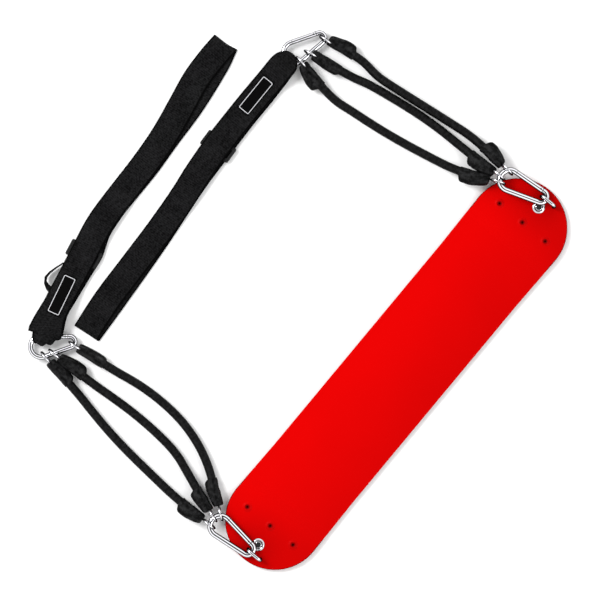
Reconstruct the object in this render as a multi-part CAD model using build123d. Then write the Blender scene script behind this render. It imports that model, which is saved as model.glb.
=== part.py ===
from build123d import *
import os
from math import asin, atan2, cos, degrees, dist, hypot, pi, radians, sin, sqrt, tan

# Belt swing seat, laid out flat: +X along the seat, +Y towards the straps, +Z up.
# The origin is the middle of the seat's underside. All sizes are in millimetres.

# --- driving dimensions ---------------------------------------------------
seat_length = 671.0
seat_width = 136.5          # across the middle
seat_end_radius = 69.8      # the ends flare a little wider than the middle
seat_flare_start = 180.0    # distance from the middle where the flare begins
seat_thick = 6.0
seat_end_thick = 8.0        # moulded thicker round the steel insert
seat_ramp = (99.5, 85.5)    # the thickening runs between these distances from the end
seat_edge_round = 2.0

insert_thick = 2.0
insert_floor = 3.0          # rubber under the insert
insert_edges = (73.5, 8.5)  # the insert's inner and outer edges, from the seat's end
insert_half_wide = 50.0     # at the inner edge
insert_half_tip = 22.0      # at the outer edge
pin_hole_radius = 1.6       # moulding pin holes over the insert
pin_hole_setback = 59.5     # from the seat's end
pin_hole_pitch = 41.5

loop_wire = 5.0             # the anchor loop that stands through the seat
loop_setback = 15.0         # from the seat's end
loop_y = (-19.5, 3.0)       # its two legs
loop_rise = 14.0            # wire centre of its bow, above the seat
loop_bend = 6.0

rivet_setback = 28.5        # from the seat's end
rivet_y = -4.0
rivet_shank = 6.0
rivet_head = 10.0
rivet_head_rise = 1.6
washer_outer = 18.0
washer_thick = 1.2
rivet_tail = 11.0
rivet_tail_thick = 1.6

seat_hook = dict(wire=8.0, length=80.0, wide=37.0, narrow=25.0)
strap_hook = dict(wire=7.0, length=70.0, wide=37.0, narrow=22.0)
gate_undersize = 0.2        # the gate's rod is thinner than the wire
gate_end_gap = 0.5
blade_thick = 2.6
blade_reach = 4.8
slot_gap = 0.3
hinge_shoulder = 2.0        # straight wire past the narrow bend
nose_shoulder = 1.5         # straight wire past the wide bend
pin_setback = 4.2           # hinge pin, from its shoulder
pin_diameter = 2.5
latch_wall = 1.0            # wall that stops the gate when it closes
gate_bore = 3.8
spring_coil = 2.8           # mean diameter
spring_wire = 0.5
spring_pitch = 1.5
spring_length = 13.5

cord_diameter = 12.0
ring_wire = 3.0
ring_inner = 17.0
ring_gap = 0.3              # between a taut ring and the hook's wire
sleeve_length = 44.0
sleeve_thick = 14.0
sleeve_bore_start = 38.0    # the cord's end stops here, from the sleeve's nose
ring_behind_nose = 7.5      # ring centre, before the nose
cord_lead = 15.0            # straight run past the sleeve's mouth

webbing_width = 38.1
webbing_thick = 1.6
fold_gap = 0.4              # between the two layers where they lie flat
fold_slack = 3.0            # the webbing's upper layer stands this far off the hook
slider_length = 24.0
slider_cheek = 4.0
slider_bar = 5.0
slider_top = 5.8
label_size = (60.0, 19.0)
label_thick = 0.6

running_gap = 0.05          # radial, on pins and in bores
close_gap = 0.3             # between parts that move past each other

loop_x = seat_length / 2 - loop_setback
rivet_x = seat_length / 2 - rivet_setback
pin_hole_row = seat_length / 2 - pin_hole_setback
insert_inner, insert_outer = (seat_length / 2 - edge for edge in insert_edges)
seat_hook_z = seat_end_thick + rivet_head_rise + close_gap + seat_hook["wire"] / 2
lower_layer_z = 2.1         # webbing beside the slider and the hook
strap_hook_z = lower_layer_z + webbing_thick + 0.4 + strap_hook["wire"] / 2
upper_layer_hook_z = strap_hook_z + strap_hook["wire"] / 2 + fold_slack
upper_layer_slider_z = slider_top + close_gap
ring_outer = ring_inner / 2 + ring_wire
# One ring of the right seat hook stands on the seat's rim and holds the hook's end up.
ring_stand = 57.0           # from the hook's narrow bend to that ring
# A seat hook's narrow bend lies beside the loop's upper leg; this is its middle's Y.
seat_hook_y = loop_y[1] - (loop_wire + seat_hook["wire"]) / 2 + (seat_hook["narrow"] - seat_hook["wire"]) / 2
right_hook_rise = degrees(asin((seat_end_thick + ring_outer + close_gap - seat_hook_z) / ring_stand))

# Where each hook lies: centre of its narrow bend, the direction of its wide end in
# plan, and how steeply that end rises.
hooks = {
    "left_seat_hook": dict(seat_hook, at=(0.5 - loop_x, seat_hook_y - 0.5, seat_hook_z),
                           turn=90.0, rise=0.0),
    "right_seat_hook": dict(seat_hook, at=(loop_x - 1.0, seat_hook_y - 1.0, seat_hook_z),
                            turn=103.0, rise=right_hook_rise),
    "left_strap_hook": dict(strap_hook, at=(-257.2, 380.3, strap_hook_z), turn=139.1, rise=0.0),
    "right_strap_hook": dict(strap_hook, at=(292.8, 383.0, strap_hook_z), turn=159.7, rise=0.0),
}

# Each cord: where its two rings sit on the hooks, which way each sleeve points in
# plan, which side its shoulder bulges to, and the free route between the sleeves.
cords = {
    "left_cord_outer": dict(
        seat=("wide", 122.0, (-0.03, 1.0), 1, 12.0),
        strap=("spine", 1.0, (-0.16, -0.987), 1, 10.5),
        route=[(-327.5, 170, 6.3), (-324.5, 212, 6.2), (-319.5, 255, 6.2), (-312.5, 293, 6.4)],
    ),
    "left_cord_middle": dict(
        seat=("wide", 76.0, (0.31, 0.95), 1, 12.0),
        strap=("spine", 14.0, (0.02, -1.0), 1, 11.0),
        route=[(-283.0, 166, 6.3), (-277.6, 205, 6.2), (-276.8, 248, 6.2), (-279.0, 285, 6.4)],
    ),
    "left_cord_inner": dict(
        seat=("wide", 36.0, (0.585, 0.811), 1, 11.5),
        strap=("narrow", -84.0, (0.12, -0.993), 1, 9.0),
        route=[(-251.5, 152, 6.3), (-241.6, 190, 6.2), (-239.0, 231, 6.2), (-241.4, 269, 6.4)],
    ),
    "right_cord_inner": dict(
        seat=("wide", 140.0, (-0.37, 0.929), 1, 12.0),
        strap=("wide", -107.0, (-0.148, -0.989), -1, 12.0),
        route=[(262.8, 161, 6.3), (254.0, 204, 6.2), (247.2, 247, 6.2), (243.2, 284, 6.4)],
    ),
    "right_cord_middle": dict(
        seat=("wide", 109.0, (0.0, 1.0), 1, 12.0),
        strap=("spine", 15.0, (0.17, -0.985), -1, 11.0),
        route=[(302.7, 172, 6.3), (299.3, 214, 6.2), (293.2, 255, 6.2), (286.3, 290, 6.4)],
    ),
    "right_cord_outer": dict(
        seat=("wide", 52.0, (0.09, 0.996), -1, 12.0),
        strap=("narrow", -72.0, (0.08, -0.997), 1, 12.0),
        route=[(318.8, 166, 7.5), (311.4, 217, 12.0), (306.0, 257, 12.6), (303.2, 287, 9.2)],
    ),
}

# Each strap: the middle line of its two webbing layers from the hook to the far
# fold, the narrowed end round the hook, the slider's straight stretch and the label.
straps = {
    "right": dict(
        upper=[(226, 398.3), (180, 398.9), (140, 398.6), (40, 393), (0, 388.3), (-60, 383.5),
               (-180, 378), (-232.5, 371.6)],
        lower=[(226, 397.9), (180, 398.4), (140, 398.6), (40, 393), (0, 388.8), (-100, 379),
               (-180, 373.2), (-231, 369.6)],
        end=[(225, 417.2), (232, 416.6), (241, 412.5), (247, 407), (249, 403), (249, 393),
             (244, 386), (236, 380.5), (225, 379.4)],
        wall=[(249, 403), (249, 393)],
        heights=[(1, upper_layer_hook_z), (228, upper_layer_hook_z), (205, upper_layer_slider_z),
                 (36, upper_layer_slider_z), (-20, webbing_thick + fold_gap)],
        lower_drop=(36, -20),
        slider=(86.0, 395.6, 3.2),
        label=(173.7, 399.6, 0.0),
        far=-232.0,
    ),
    "left": dict(
        upper=[(-240, 424.6), (-214, 430.3), (-190, 435.5), (-105, 453.5), (-60, 456.8),
               (0, 459), (50, 463.5), (100, 472.5), (140, 479.8), (180, 481.6), (202.5, 480.8)],
        lower=[(-240, 422.5), (-214, 428.8), (-190, 435.5), (-105, 453.5), (-60, 456),
               (0, 456.6), (50, 460), (100, 462.6), (140, 467.2), (180, 473.8), (202.0, 480.0)],
        end=[(-243.5, 443.0), (-278, 437), (-290, 421), (-291, 416), (-284, 410.5),
             (-258, 393.5), (-247, 399.5), (-235.8, 405.2)],
        wall=[(-291, 416), (-284, 410.5)],
        heights=[(1, upper_layer_hook_z), (-250, upper_layer_hook_z), (-196, upper_layer_slider_z),
                 (-96, upper_layer_slider_z), (-40, webbing_thick + fold_gap)],
        lower_drop=(-96, -40),
        slider=(-150.0, 443.97, 11.96),
        label=(-214.2, 430.6, 12.9),
        far=202.4,
    ),
}

nodes = {}


# --- small helpers ----------------------------------------------------------
def disc(x, y, low, high, diameter):
    return Pos(x, y, (low + high) / 2) * Cylinder(diameter / 2, high - low)


def slab(outline, low, high):
    """A flat plate from its outline in plan."""
    face = make_face(Polyline(*[(x, y, low) for x, y in outline], close=True))
    return extrude(face, amount=high - low, dir=(0, 0, 1))


def side_cut(outline, front=340.0, back=520.0):
    """A solid of one side profile, X and Z, running along Y."""
    face = make_face(Polyline(*[(x, front, z) for x, z in outline], close=True))
    return extrude(face, amount=back - front, dir=(0, 1, 0))


def turned(vector, angle):
    a = radians(angle)
    x, y = vector
    return (x * cos(a) - y * sin(a), x * sin(a) + y * cos(a))


# --- the seat and what is fixed in it -----------------------------------------
def flare_touch():
    """Where the seat's flared edge runs into the round end."""
    centre = seat_length / 2 - seat_end_radius
    run, rise = centre - seat_flare_start, seat_width / 2
    lean = asin(seat_end_radius / hypot(run, rise)) - atan2(rise, run)
    return (centre - seat_end_radius * sin(lean), seat_end_radius * cos(lean))


def make_seat():
    touch = flare_touch()
    half = seat_width / 2
    tip = seat_length / 2
    outline = (
        Polyline((-seat_flare_start, half), (seat_flare_start, half), touch)
        + ThreePointArc(touch, (tip, 0), (touch[0], -touch[1]))
        + Polyline((touch[0], -touch[1]), (seat_flare_start, -half), (-seat_flare_start, -half),
                   (-touch[0], -touch[1]))
        + ThreePointArc((-touch[0], -touch[1]), (-tip, 0), (-touch[0], touch[1]))
        + Line((-touch[0], touch[1]), (-seat_flare_start, half))
    )
    body = extrude(make_face(outline), amount=seat_end_thick)
    rims = body.faces().filter_by(Axis.Z).edges()
    body = fillet(rims, seat_edge_round)
    start, end = (seat_length / 2 - edge for edge in seat_ramp)
    thin = [(-end, seat_end_thick), (-start, seat_thick), (start, seat_thick), (end, seat_end_thick),
            (end, seat_end_thick + 1), (-end, seat_end_thick + 1)]
    body -= side_cut(thin, -seat_width, seat_width)
    for side in (-1, 1):
        body -= make_insert(side, running_gap)
        for row in (-1, 0, 1):
            body -= disc(side * pin_hole_row, row * pin_hole_pitch, insert_floor, seat_end_thick + 1,
                         2 * pin_hole_radius)
        for y in loop_y:
            body -= disc(side * loop_x, y, insert_floor, seat_end_thick + 1,
                         loop_wire + 2 * running_gap)
        shank = rivet_shank + 2 * running_gap
        body -= disc(side * rivet_x, rivet_y, -1, seat_end_thick + 1, shank)
        body -= disc(side * rivet_x, rivet_y, seat_end_thick - washer_thick, seat_end_thick + 1,
                     washer_outer + 2 * running_gap)
        body -= disc(side * rivet_x, rivet_y, -1, rivet_tail_thick + running_gap,
                     rivet_tail + 2 * running_gap)
    return body


def make_insert(side, gap=0.0):
    """Steel plate moulded into the seat's end, or with a gap the space it fills."""
    inner, outer = insert_inner - gap, insert_outer + gap
    wide, tip = insert_half_wide + gap, insert_half_tip + gap
    outline = [(inner, -wide), (inner + 26, -wide), (outer, -tip), (outer, tip),
               (inner + 26, wide), (inner, wide)]
    plate = slab([(side * x, y) for x, y in outline], insert_floor, insert_floor + insert_thick)
    if not gap:
        for y in loop_y:
            plate -= disc(side * loop_x, y, 0, seat_end_thick, loop_wire + 2 * running_gap)
        plate -= disc(side * rivet_x, rivet_y, 0, seat_end_thick, rivet_shank + 2 * running_gap)
    return plate


def make_anchor_loop(side):
    x = side * loop_x
    bow = seat_end_thick + loop_rise
    path = FilletPolyline((x, loop_y[0], insert_floor), (x, loop_y[0], bow),
                          (x, loop_y[1], bow), (x, loop_y[1], insert_floor), radius=loop_bend)
    return sweep(Plane(origin=path @ 0, z_dir=path % 0) * Circle(loop_wire / 2), path=path)


def make_rivet(side):
    x = side * rivet_x
    shank = disc(x, rivet_y, rivet_tail_thick, seat_end_thick, rivet_shank)
    head = disc(x, rivet_y, seat_end_thick, seat_end_thick + rivet_head_rise, rivet_head)
    head = fillet(head.faces().sort_by(Axis.Z)[-1].edges(), rivet_head_rise * 0.8)
    tail = disc(x, rivet_y, 0.2, rivet_tail_thick, rivet_tail)
    return shank + head + tail


def make_washer(side):
    ring = disc(side * rivet_x, rivet_y, seat_end_thick - washer_thick, seat_end_thick, washer_outer)
    return ring - disc(side * rivet_x, rivet_y, 0, seat_end_thick + 1,
                       rivet_shank + 2 * running_gap)


# --- snap hooks ---------------------------------------------------------------
def hook_sizes(hook):
    """Bend radii, the distance between the bends and the lean of the legs."""
    wire = hook["wire"]
    wide = (hook["wide"] - wire) / 2
    narrow = (hook["narrow"] - wire) / 2
    span = hook["length"] - wire - wide - narrow
    return wide, narrow, span, asin((wide - narrow) / span)


def hook_legs(hook):
    """Tangent points of the gate leg, narrow end first, in the hook's own frame."""
    wide, narrow, span, lean = hook_sizes(hook)
    low = (narrow * cos(lean), -narrow * sin(lean))
    high = (wide * cos(lean), span - wide * sin(lean))
    return low, high


def along_leg(hook, distance):
    """A point of the gate leg, measured from the narrow bend."""
    low, high = hook_legs(hook)
    full = hypot(high[0] - low[0], high[1] - low[1])
    share = distance / full
    return (low[0] + (high[0] - low[0]) * share, low[1] + (high[1] - low[1]) * share)


def leg_length(hook):
    low, high = hook_legs(hook)
    return hypot(high[0] - low[0], high[1] - low[1])


def leg_plane(hook, distance):
    """Origin on the gate leg, X towards the wide end, Y towards the inside, Z up."""
    lean = hook_sizes(hook)[3]
    x, y = along_leg(hook, distance)
    return Plane(origin=(x, y, 0), x_dir=(sin(lean), cos(lean), 0), z_dir=(0, 0, 1))


def make_hook_frame(hook):
    wide, narrow, span, lean = hook_sizes(hook)
    low, high = hook_legs(hook)
    wire = hook["wire"]
    nose = along_leg(hook, leg_length(hook) - nose_shoulder)
    hinge = along_leg(hook, hinge_shoulder)
    path = Wire([
        Line(nose, high),
        ThreePointArc(high, (0, span + wide), (-high[0], high[1])),
        Line((-high[0], high[1]), (-low[0], low[1])),
        ThreePointArc((-low[0], low[1]), (0, -narrow), low),
        Line(low, hinge),
    ])
    frame = sweep(Plane(origin=path @ 0, z_dir=path % 0) * Circle(wire / 2), path=path)
    blade_half = wire / 2 - 0.3
    hinge_blade = Pos(pin_setback / 2 - 1, 0, 0) * Box(pin_setback + 2, 2 * blade_half, blade_thick)
    hinge_blade += Pos(pin_setback, 0, 0) * Cylinder(blade_half, blade_thick)
    hinge_blade -= Pos(pin_setback, 0, 0) * Cylinder(pin_diameter / 2 + 0.01, 2 * blade_thick)
    frame += leg_plane(hook, hinge_shoulder).location * hinge_blade
    nose_blade = Pos(1 - blade_reach / 2, -(latch_wall + slot_gap) / 2, 0) * Box(
        blade_reach + 2, 2 * blade_half - latch_wall - slot_gap, blade_thick)
    frame += leg_plane(hook, leg_length(hook) - nose_shoulder).location * nose_blade
    return frame


def make_gate(hook):
    """The sprung gate, with a fork at the hinge and a latch slot at the nose."""
    radius = hook["wire"] / 2 - gate_undersize / 2
    pin = hinge_shoulder + pin_setback
    reach = leg_length(hook) - nose_shoulder - gate_end_gap - pin
    knuckle = pin_setback - gate_end_gap
    bar = Rot(0, 90, 0) * Cylinder(radius, reach, align=(Align.CENTER, Align.CENTER, Align.MIN))
    heel = Rot(0, -90, 0) * Cylinder(radius, knuckle, align=(Align.CENTER, Align.CENTER, Align.MIN))
    gate = bar + (heel & Cylinder(knuckle, 4 * radius))
    blade_half = hook["wire"] / 2 - 0.3
    slot = blade_thick + 2 * slot_gap
    fork_depth = blade_half + close_gap + 0.2
    gate -= Pos((fork_depth - knuckle - 1) / 2, 0, 0) * Box(
        fork_depth + knuckle + 1, 3 * radius, slot)
    gate -= Pos(reach - blade_reach / 2, -latch_wall, 0) * Box(
        blade_reach + 2 * close_gap, 2 * radius, slot)
    gate -= Cylinder(pin_diameter / 2 + running_gap, 4 * radius)
    gate -= Pos(fork_depth - 0.5, 0, 0) * Rot(0, 90, 0) * Cylinder(
        gate_bore / 2, spring_length + 1.5, align=(Align.CENTER, Align.CENTER, Align.MIN))
    return leg_plane(hook, pin).location * gate


def make_gate_pin(hook):
    radius = hook["wire"] / 2 - gate_undersize / 2
    half = sqrt(radius ** 2 - (pin_diameter / 2) ** 2)
    pin = Cylinder(pin_diameter / 2, 2 * half)
    return leg_plane(hook, hinge_shoulder + pin_setback).location * pin


def make_gate_spring(hook):
    blade_half = hook["wire"] / 2 - 0.3
    start = blade_half + close_gap + 0.2 + spring_wire / 2 + 0.1
    coil = Helix(spring_pitch, spring_length - spring_wire, spring_coil / 2)
    spring = sweep(Plane(origin=coil @ 0, z_dir=coil % 0) * Circle(spring_wire / 2), path=coil,
                   is_frenet=True)
    spring = Pos(start, 0, 0) * Rot(0, 90, 0) * spring
    return leg_plane(hook, hinge_shoulder + pin_setback).location * spring


def hook_place(hook):
    """Puts the hook's own frame where it lies: its Y points at the wide end."""
    turn, rise = radians(hook["turn"]), radians(hook["rise"])
    up = (-cos(turn) * sin(rise), -sin(turn) * sin(rise), cos(rise))
    return Plane(origin=hook["at"], x_dir=(sin(turn), -cos(turn), 0), z_dir=up).location


def hook_to_row(hook, x, y):
    turn, rise = radians(hook["turn"]), radians(hook["rise"])
    ox, oy, oz = hook["at"]
    ahead = y * cos(rise)
    return (ox + x * sin(turn) + ahead * cos(turn), oy - x * cos(turn) + ahead * sin(turn),
            oz + y * sin(rise))


# --- cords, their sleeves and rings ---------------------------------------------
def wire_point(hook, where, value):
    """A point on the hook's wire: on a bend by its direction in plan, or down its spine."""
    wide, narrow, span, lean = hook_sizes(hook)
    if where == "spine":
        x, y = along_leg(hook, leg_length(hook) - value)
        return hook_to_row(hook, -x, y)
    radius, centre = (wide, span) if where == "wide" else (narrow, 0)
    angle = radians(hook["turn"] - value)
    return hook_to_row(hook, radius * sin(angle), centre + radius * cos(angle))


def wire_line(hook):
    """Points along the middle of the hook's wire, gate leg left out."""
    wide, narrow, span, lean = hook_sizes(hook)
    low, high = hook_legs(hook)
    points = []
    for i in range(61):
        angle = -lean + (pi + 2 * lean) * i / 60
        points.append(hook_to_row(hook, wide * cos(angle), span + wide * sin(angle)))
        share = i / 60
        x, y = high[0] + (low[0] - high[0]) * share, high[1] + (low[1] - high[1]) * share
        points.append(hook_to_row(hook, -x, y))
        angle = -lean - (pi - 2 * lean) * share
        points.append(hook_to_row(hook, narrow * cos(angle), narrow * sin(angle)))
    return points


def sleeve_plane(hook, where, value, direction):
    """The sleeve's frame: origin at its nose, X along the cord, Z as upright as it goes."""
    contact = wire_point(hook, where, value)
    ring_z = max(contact[2], ring_outer + 0.1)
    size = hypot(*direction)
    fall = ring_z - (cord_diameter / 2 + 0.2)
    slope = fall / (ring_behind_nose + sleeve_length + cord_lead)
    along = Vector(direction[0] / size, direction[1] / size, -slope).normalized()
    upright = (Vector(0, 0, 1) - along * along.Z).normalized()
    clear = (hook["wire"] + ring_wire) / 2 + ring_gap
    near = [p for p in wire_line(hook) if dist(p, contact) < ring_inner]
    angles = [radians(6 * k) for k in range(60)]
    spokes = [(along * cos(a) + upright * sin(a)) * (ring_inner + ring_wire) / 2 for a in angles]
    spokes = [(v.X, v.Y, v.Z) for v in spokes]
    # Pull the ring taut: the furthest it goes along the cord before it meets the wire.
    reach = ring_inner / 2
    while reach > -ring_inner:
        ring = Vector(contact[0], contact[1], ring_z) + Vector(along.X, along.Y, 0) * reach
        circle = [(ring.X + x, ring.Y + y, ring.Z + z) for x, y, z in spokes]
        if all(dist(p, q) >= clear for p in circle for q in near):
            break
        reach -= 0.1
    nose = ring + along * ring_behind_nose
    print("  ring", [round(v, 2) for v in ring], "reach", round(reach, 1))
    return Plane(origin=nose, x_dir=along, z_dir=upright)


def make_sleeve(side, bulge):
    """Moulded sleeve over the doubled cord end, in its own frame."""
    outline = [(0, -5), (10, -7), (sleeve_length, -7), (sleeve_length, 6.8),
               (sleeve_length - 4, bulge - 1.5), (sleeve_length - 9, bulge),
               (sleeve_length - 16, bulge), (8, 7), (0, 5)]
    face = make_face(Polyline(*[(x, side * y) for x, y in outline], close=True))
    face = fillet(face.vertices(), 4.2)
    body = extrude(face, amount=sleeve_thick / 2, both=True)
    body = fillet(body.faces().filter_by(Axis.Z).edges(), 4.0)
    body -= Pos(sleeve_bore_start, 0, 0) * Rot(0, 90, 0) * Cylinder(
        cord_diameter / 2 + running_gap, sleeve_length, align=(Align.CENTER, Align.CENTER, Align.MIN))
    body -= ring_shape(ring_wire + 2 * running_gap)
    return body


def ring_shape(wire):
    return Pos(-ring_behind_nose, 0, 0) * Rot(90, 0, 0) * Torus((ring_inner + ring_wire) / 2, wire / 2)


def make_cord(start, end, route):
    """The tube: straight runs joined by arcs as large as the runs allow."""
    first = start.from_local_coords((sleeve_bore_start, 0, 0))
    lead_in = start.from_local_coords((sleeve_length + cord_lead, 0, 0))
    lead_out = end.from_local_coords((sleeve_length + cord_lead, 0, 0))
    last = end.from_local_coords((sleeve_bore_start, 0, 0))
    points = [first, lead_in] + [Vector(*p) for p in route] + [lead_out, last]
    radii = []
    for before, here, after in zip(points, points[1:], points[2:]):
        turn = (here - before).get_angle(after - here)
        shorter = min((here - before).length, (after - here).length)
        radii.append(0.45 * shorter / tan(radians(turn) / 2))
    path = FilletPolyline(*points, radius=radii)
    tube = sweep(Plane(origin=path @ 0, z_dir=path % 0) * Circle(cord_diameter / 2), path=path)
    share = tube.volume / (pi * (cord_diameter / 2) ** 2 * path.length)
    runs = [round((b - a).length) for a, b in zip(points, points[1:])]
    print("cord length", round(path.length, 1), "radii", [round(r) for r in radii], "runs", runs,
          "volume share", round(share, 4))
    print("  route", [tuple(round(v, 1) for v in p) for p in points])
    return tube


# --- straps -----------------------------------------------------------------------
def band(line):
    """Outline of webbing along a middle line, in plan."""
    half = webbing_width / 2
    left, right = [], []
    for i, (x, y) in enumerate(line):
        before, after = line[max(i - 1, 0)], line[min(i + 1, len(line) - 1)]
        dx, dy = after[0] - before[0], after[1] - before[1]
        size = hypot(dx, dy)
        left.append((x - dy / size * half, y + dx / size * half))
        right.append((x + dy / size * half, y - dx / size * half))
    return left + right[::-1]


def strip(path, lift=0.0, thick=webbing_thick):
    """Side profile of one layer: its underside's path, with a thickness."""
    low = [(x, z + lift) for x, z in path]
    high = [(x, z + lift + thick) for x, z in reversed(path)]
    return side_cut(low + high)


def upper_path(strap):
    """Height of the upper layer's underside, from the hook to the far fold."""
    heights = list(strap["heights"])
    ahead = 1 if strap["far"] < 0 else -1
    heights[0] = (ahead * 300.0, heights[0][1])
    return heights + [(strap["far"], heights[-1][1])]


def lower_path(strap):
    ahead = 1 if strap["far"] < 0 else -1
    start, end = strap["lower_drop"]
    return [(ahead * 300.0, lower_layer_z), (start, lower_layer_z), (end, 0.0), (strap["far"], 0.0)]


def make_strap(strap):
    top = 20.0
    upper_plan = slab(band(strap["upper"]), -1, top) + slab(strap["end"], -1, top)
    lower_plan = slab(band(strap["lower"]), -1, top) + slab(strap["end"], -1, top)
    webbing = upper_plan & strip(upper_path(strap))
    webbing += lower_plan & strip(lower_path(strap))
    (x0, y0), (x1, y1) = strap["wall"]
    size = hypot(x1 - x0, y1 - y0)
    inward = 1 if strap["far"] > 0 else -1
    nx, ny = inward * (y0 - y1) / size, inward * abs(x1 - x0) / size
    step = (nx * webbing_thick, abs(ny) * webbing_thick)
    wall = [(x0, y0), (x1, y1), (x1 + step[0], y1 + step[1]), (x0 + step[0], y0 + step[1])]
    webbing += slab(wall, lower_layer_z, upper_layer_hook_z + webbing_thick)
    far = strap["far"]
    fold = [(far, 0), (far + (-1 if far > 0 else 1) * webbing_thick, 0)]
    fold = [(x, 0.0) for x, _ in fold] + [(x, 2 * webbing_thick + fold_gap) for x, _ in fold[::-1]]
    webbing += (slab(band(strap["upper"]), -1, top) & slab(band(strap["lower"]), -1, top)) & side_cut(fold)
    return webbing


def make_label(strap):
    x, y, turn = strap["label"]
    half_long, half_wide = label_size[0] / 2, label_size[1] / 2
    corners = [turned(c, turn) for c in ((-half_long, -half_wide), (half_long, -half_wide),
                                         (half_long, half_wide), (-half_long, half_wide))]
    plan = slab([(x + cx, y + cy) for cx, cy in corners], -1, 20)
    return plan & strip(upper_path(strap), webbing_thick, label_thick)


def make_slider(strap):
    """Three-bar slider: the lower layer runs over its middle bar, under the other two."""
    x, y, turn = strap["slider"]
    half = webbing_width / 2 + 0.7
    outer = half + slider_cheek
    low_top = lower_layer_z - close_gap
    high_low = lower_layer_z + webbing_thick + close_gap
    body = Pos(0, 0, low_top / 2) * Box(slider_bar, 2 * outer, low_top)
    for side in (-1, 1):
        body += Pos(0, side * (half + slider_cheek / 2), slider_top / 2) * Box(
            slider_length, slider_cheek, slider_top)
        body += Pos(side * (slider_length - slider_bar) / 2, 0, (high_low + slider_top) / 2) * Box(
            slider_bar, 2 * outer, slider_top - high_low)
    corners = body.edges().filter_by(Axis.Z).filter_by(
        lambda e: abs(abs((e @ 0).X) - slider_length / 2) < 0.01 and abs(abs((e @ 0).Y) - outer) < 0.01)
    body = fillet(corners, 2.5)
    return Pos(x, y, 0) * Rot(0, 0, turn) * body


# --- build every node ---------------------------------------------------------------
nodes["seat"] = make_seat()
for side, sign in (("left", -1), ("right", 1)):
    nodes[side + "_insert_plate"] = make_insert(sign)
    nodes[side + "_anchor_loop"] = make_anchor_loop(sign)
    nodes[side + "_anchor_rivet"] = make_rivet(sign)
    nodes[side + "_rivet_washer"] = make_washer(sign)

for name, hook in hooks.items():
    place = hook_place(hook)
    nodes[name] = place * make_hook_frame(hook)
    nodes[name + "_gate"] = place * make_gate(hook)
    nodes[name + "_gate_pin"] = place * make_gate_pin(hook)
    nodes[name + "_gate_spring"] = place * make_gate_spring(hook)
    low, high = hook_legs(hook)
    pin = along_leg(hook, hinge_shoulder + pin_setback)
    print(name, "gate pin", hook_to_row(hook, *pin), "spine", hook_to_row(hook, -high[0], high[1]),
          hook_to_row(hook, -low[0], low[1]))
    wide, narrow, span, lean = hook_sizes(hook)
    print("  narrow tip", hook_to_row(hook, 0, -narrow), "wide tip", hook_to_row(hook, 0, span + wide),
          "z", hook["at"][2])

rings = {}
for name, cord in cords.items():
    side = name.split("_")[0]
    planes = {}
    for end in ("seat", "strap"):
        where, value, direction, shoulder, bulge = cord[end]
        planes[end] = sleeve_plane(hooks[f"{side}_{end}_hook"], where, value, direction)
        sleeve = planes[end].location * make_sleeve(shoulder, bulge)
        nodes[f"{name}_{end}_sleeve"] = sleeve
        ring = planes[end].location * ring_shape(ring_wire)
        rings.setdefault(f"{side}_{end}_rings", []).append(ring)
    print(name)
    nodes[name] = make_cord(planes["seat"], planes["strap"], cord["route"])
for name, group in rings.items():
    nodes[name] = Compound(children=group)

for side, strap in straps.items():
    nodes[side + "_strap"] = make_strap(strap)
    nodes[side + "_strap_label"] = make_label(strap)
    nodes[side + "_strap_slider"] = make_slider(strap)

os.makedirs("parts", exist_ok=True)
for name, shape in nodes.items():
    export_step(shape, f"parts/{name}.step")
print(len(nodes), "nodes")
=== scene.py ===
import math
import random

import bmesh
import bpy
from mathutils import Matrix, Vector
from mathutils.bvhtree import BVHTree


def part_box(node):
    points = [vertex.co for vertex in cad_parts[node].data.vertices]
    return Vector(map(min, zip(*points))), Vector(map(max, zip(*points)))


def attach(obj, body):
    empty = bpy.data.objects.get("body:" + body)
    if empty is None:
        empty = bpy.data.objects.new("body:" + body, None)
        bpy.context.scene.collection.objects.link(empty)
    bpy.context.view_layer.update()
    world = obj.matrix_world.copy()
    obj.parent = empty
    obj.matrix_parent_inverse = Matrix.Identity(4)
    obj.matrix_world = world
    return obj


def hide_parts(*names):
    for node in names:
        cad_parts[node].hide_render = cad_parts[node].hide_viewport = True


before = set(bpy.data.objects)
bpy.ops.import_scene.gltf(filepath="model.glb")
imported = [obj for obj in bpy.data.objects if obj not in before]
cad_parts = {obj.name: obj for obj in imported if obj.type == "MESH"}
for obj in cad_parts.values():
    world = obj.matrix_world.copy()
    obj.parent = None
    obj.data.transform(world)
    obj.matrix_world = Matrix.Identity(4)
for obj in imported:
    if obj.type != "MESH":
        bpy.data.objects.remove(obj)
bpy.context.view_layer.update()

# ---------------------------------------------------------------------------
# The camera looks straight down on the swing, turned so that the seat runs up
# to the right. Its long lens keeps the straps and cords in their true places.
# ---------------------------------------------------------------------------
camera_height = 2.6
view_width = 0.840
middle_of_object = 0.006
camera_data = bpy.data.cameras.new("overhead_camera")
camera_data.sensor_width = 36.0
camera_data.lens = camera_data.sensor_width * (camera_height - middle_of_object) / view_width
camera = bpy.data.objects.new("overhead_camera", camera_data)
camera.location = (-0.0063, 0.1699, camera_height)
camera.rotation_euler = (0.0, 0.0, math.radians(-50.27))
bpy.context.scene.collection.objects.link(camera)
bpy.context.scene.camera = camera
bpy.context.scene.view_settings.view_transform = "Standard"


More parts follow.
